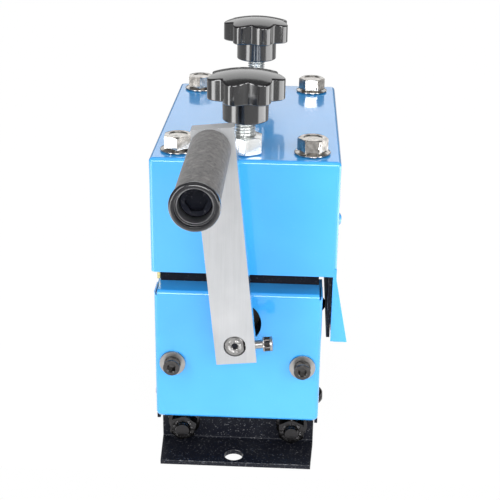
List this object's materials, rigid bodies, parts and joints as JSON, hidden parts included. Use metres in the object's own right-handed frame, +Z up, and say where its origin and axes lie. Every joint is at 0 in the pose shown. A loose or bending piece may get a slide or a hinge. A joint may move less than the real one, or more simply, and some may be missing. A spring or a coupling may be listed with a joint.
{
  "type": "wire stripping machine",
  "caption": "Hand-cranked bench wire stripper: blue folded covers over a feed roller and round cutters, star knobs on top to set their depth, angle feet.",
  "frame": {"origin": "middle of the whole object's box, at the underside of the feet", "axes": "+X the way the wire travels, -Y towards the crank, +Z up"},
  "size_m": [0.1, 0.276, 0.2024],
  "materials": {
    "blue_enamel": "glossy sky-blue enamel",
    "black_paint": "satin black paint, a little dusty",
    "black_oxide": "black oxide",
    "plain_steel": "turned steel",
    "bright_zinc": "bright zinc plating",
    "yellow_zinc": "yellow zinc plating",
    "bronze": "plain bronze",
    "brushed_aluminium": "brushed along its length",
    "black_plastic": "glossy moulded plastic",
    "grip_rubber": "matt rubber"
  },
  "bodies": {
    "root": {"cover": "blue_enamel", "exit_liner": "black_paint", "front_bush": "bronze", "front_cover_bolt_left": "bright_zinc", "front_cover_bolt_right": "bright_zinc", "front_foot": "black_paint", "front_foot_bolt_left": "black_oxide", "front_foot_bolt_right": "black_oxide", "front_foot_nut_left": "black_oxide", "front_foot_nut_right": "black_oxide", "front_frame": "black_paint", "front_liner_screw": "blue_enamel", "front_lock_nut": "bright_zinc", "front_panel": "blue_enamel", "front_panel_screw_left": "plain_steel", "front_panel_screw_right": "plain_steel", "front_side_screw_left_lower": "black_oxide", "front_side_screw_left_upper": "black_oxide", "front_side_screw_right_lower": "black_oxide", "front_side_screw_right_upper": "black_oxide", "guide_plate": "yellow_zinc", "left_rail": "black_paint", "rear_bush": "bronze", "rear_cover_bolt_left": "bright_zinc", "rear_cover_bolt_right": "bright_zinc", "rear_foot": "black_paint", "rear_foot_bolt_left": "black_oxide", "rear_foot_bolt_right": "black_oxide", "rear_foot_nut_left": "black_oxide", "rear_foot_nut_right": "black_oxide", "rear_frame": "black_paint", "rear_liner_screw": "blue_enamel", "rear_lock_nut": "bright_zinc", "rear_panel": "blue_enamel", "rear_panel_screw_left": "plain_steel", "rear_panel_screw_right": "plain_steel", "rear_side_screw_left_lower": "black_oxide", "rear_side_screw_left_upper": "black_oxide", "rear_side_screw_right_lower": "black_oxide", "rear_side_screw_right_upper": "black_oxide", "right_rail": "black_paint"},
    "crank": {"drive_shaft": "plain_steel", "feed_roller": "plain_steel", "crank_arm": "brushed_aluminium", "clamp_screw": "plain_steel", "handle_pin": "plain_steel"},
    "handle": {"grip": "grip_rubber"},
    "carriage": {"front_bearing_block": "plain_steel", "rear_bearing_block": "plain_steel"},
    "cutter_spindle": {"cutter_shaft": "plain_steel", "cutter_1": "plain_steel", "cutter_2": "plain_steel", "cutter_3": "plain_steel"},
    "front_adjuster": {"front_knob": "black_plastic", "front_adjusting_rod": "bright_zinc"},
    "rear_adjuster": {"rear_knob": "black_plastic", "rear_adjusting_rod": "bright_zinc"}
  },
  "joints": [
    {"name": "crank_spin", "type": "hinge", "parent": "root", "child": "crank", "pos_m": [-0.00513, -0.03665, 0.076], "axis": [0, 1, 0], "continuous": true},
    {"name": "grip_spin", "type": "hinge", "parent": "crank", "child": "handle", "pos_m": [-0.01672, -0.09665, 0.17433], "axis": [0, 1, 0], "continuous": true},
    {"name": "cutter_lift", "type": "slide", "parent": "root", "child": "carriage", "axis": [0, 0, 1], "range_m": [-0.0055, 0.006]},
    {"name": "cutter_spin", "type": "hinge", "parent": "carriage", "child": "cutter_spindle", "pos_m": [-0.00513, 0.04435, 0.12], "axis": [0, 1, 0], "continuous": true},
    {"name": "front_knob_turn", "type": "hinge", "parent": "carriage", "child": "front_adjuster", "pos_m": [-0.00332, -0.01685, 0.16], "axis": [0, 0, 1], "range_deg": [-1320, 1440]},
    {"name": "rear_knob_turn", "type": "hinge", "parent": "carriage", "child": "rear_adjuster", "pos_m": [-0.00332, 0.10555, 0.16], "axis": [0, 0, 1], "range_deg": [-1320, 1440]}
  ],
  "couplings": [
    {"joint": "front_knob_turn", "follows": "cutter_lift", "rad_per_m": 4188.8},
    {"joint": "rear_knob_turn", "follows": "cutter_lift", "rad_per_m": 4188.8}
  ]
}
